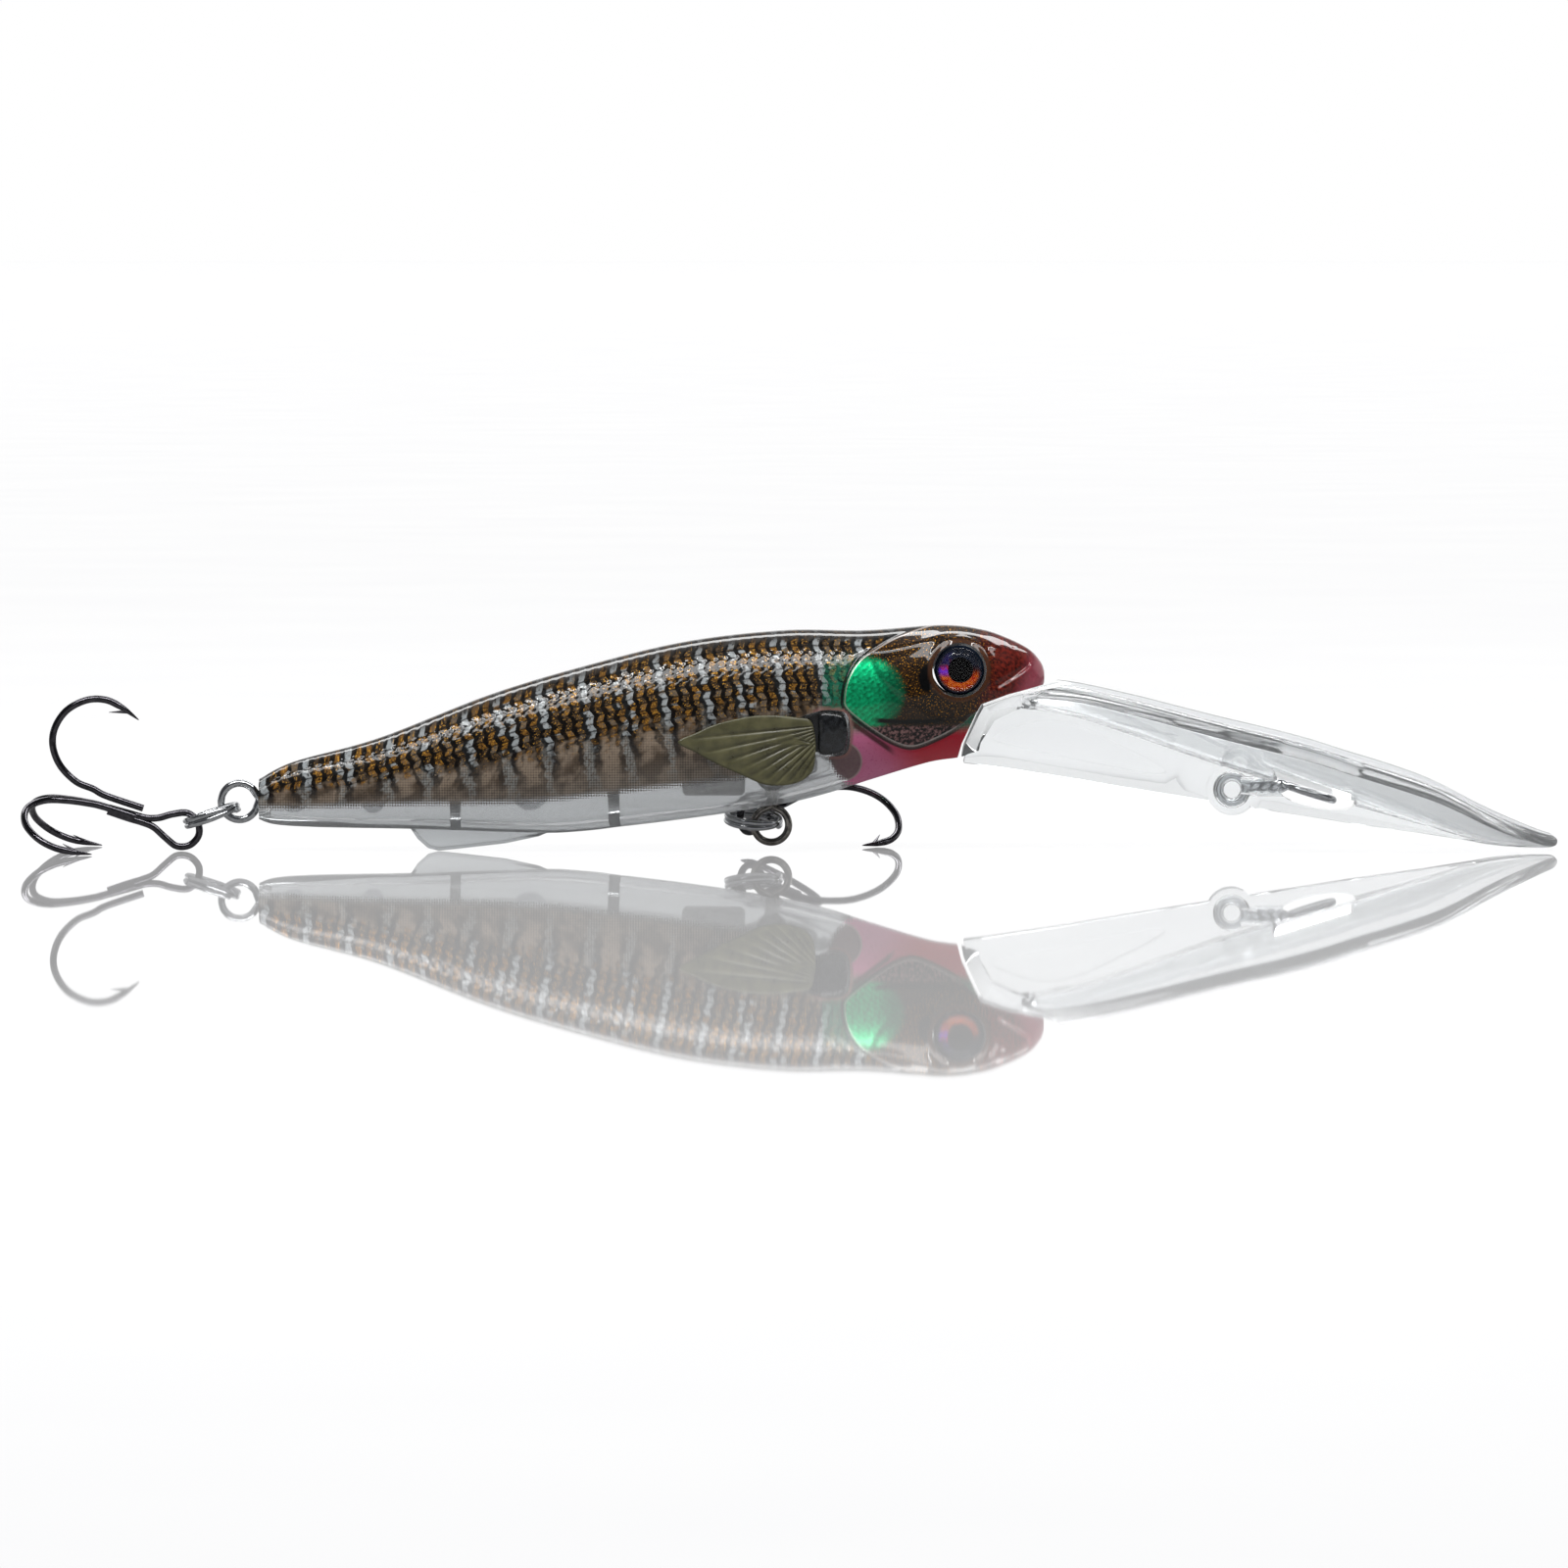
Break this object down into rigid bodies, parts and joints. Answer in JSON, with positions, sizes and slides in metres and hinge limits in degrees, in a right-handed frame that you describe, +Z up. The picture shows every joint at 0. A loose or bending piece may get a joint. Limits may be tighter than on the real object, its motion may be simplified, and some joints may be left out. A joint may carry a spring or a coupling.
{
  "type": "crankbait fishing lure",
  "caption": "Slim minnow-shaped crankbait with a long clear diving bib, soft side fins, domed eyes and two treble hooks on split rings.",
  "frame": {"origin": "centre of the line tie, the wire loop in the bib that the fishing line pulls on", "axes": "+X forward from the tail hook to the tip of the bib, +Y to the fish's left, +Z up to its back; the middle plane is Y = 0"},
  "size_m": [0.1762, 0.0358, 0.026],
  "materials": {
    "printed_shell": "clear gloss plastic with a printed scale pattern, clear along the belly",
    "clear_plastic": "clear moulded polycarbonate",
    "eye_foil": "holographic foil disc",
    "eye_dome": "clear domed resin",
    "soft_fin": "semi-matt soft plastic",
    "black_rubber": "satin black",
    "stainless_wire": "bright drawn wire",
    "black_nickel": "black nickel plate",
    "ballast_metal": "dull metal",
    "ball_steel": "polished steel"
  },
  "bodies": {
    "lure_body": {"shell_right": "printed_shell", "shell_left": "printed_shell", "bib": "clear_plastic", "eye_disc_right": "eye_foil", "eye_disc_left": "eye_foil", "eye_dome_right": "eye_dome", "eye_dome_left": "eye_dome", "fin_plug_right": "black_rubber", "fin_plug_left": "black_rubber", "tow_wire": "stainless_wire", "belly_hanger_wire": "stainless_wire", "tail_hanger_wire": "stainless_wire", "ballast_slug": "ballast_metal"},
    "fin_right_flap": {"fin_right": "soft_fin"},
    "fin_left_flap": {"fin_left": "soft_fin"},
    "belly_ring": {"belly_split_ring": "stainless_wire"},
    "tail_ring": {"tail_split_ring": "stainless_wire"},
    "belly_treble": {"belly_treble_double": "black_nickel", "belly_treble_single": "black_nickel"},
    "tail_treble": {"tail_treble_double": "black_nickel", "tail_treble_single": "black_nickel"},
    "rattle_main": {"rattle_ball_main": "ball_steel"},
    "rattle_tail": {"rattle_ball_tail": "ball_steel"}
  },
  "joints": [
    {"name": "belly_ring_swing", "type": "hinge", "parent": "lure_body", "child": "belly_ring", "pos_m": [-0.06126, 0, -0.0035], "axis": [1, 0, 0], "range_deg": [-45, 0]},
    {"name": "belly_treble_swing", "type": "hinge", "parent": "belly_ring", "child": "belly_treble", "pos_m": [-0.064, 0.0014, -0.00315], "axis": [0.092, -0.171, 0.981], "range_deg": [-2, 14]},
    {"name": "tail_ring_swing", "type": "hinge", "parent": "lure_body", "child": "tail_ring", "pos_m": [-0.12335, 0, -0.0016], "axis": [0, 1, 0], "range_deg": [-50, 75]},
    {"name": "tail_treble_swing", "type": "hinge", "parent": "tail_ring", "child": "tail_treble", "pos_m": [-0.12627, 0, -0.00257], "axis": [-0.3141, 0, 0.9494], "range_deg": [-45, 45]},
    {"name": "fin_right_flex", "type": "hinge", "parent": "lure_body", "child": "fin_right_flap", "pos_m": [-0.0578, -0.0069, 0.0068], "axis": [0, 0, 1], "range_deg": [-3, 14], "stiffness_Nm_per_rad": 0.00005},
    {"name": "fin_left_flex", "type": "hinge", "parent": "lure_body", "child": "fin_left_flap", "pos_m": [-0.0578, 0.0069, 0.0068], "axis": [0, 0, -1], "range_deg": [-3, 14], "stiffness_Nm_per_rad": 0.00005},
    {"name": "rattle_main_roll", "type": "slide", "parent": "lure_body", "child": "rattle_main", "axis": [1, 0, 0], "range_m": [-0.005, 0.0062]},
    {"name": "rattle_tail_roll", "type": "slide", "parent": "lure_body", "child": "rattle_tail", "axis": [1, 0, 0], "range_m": [-0.004, 0.006]}
  ]
}
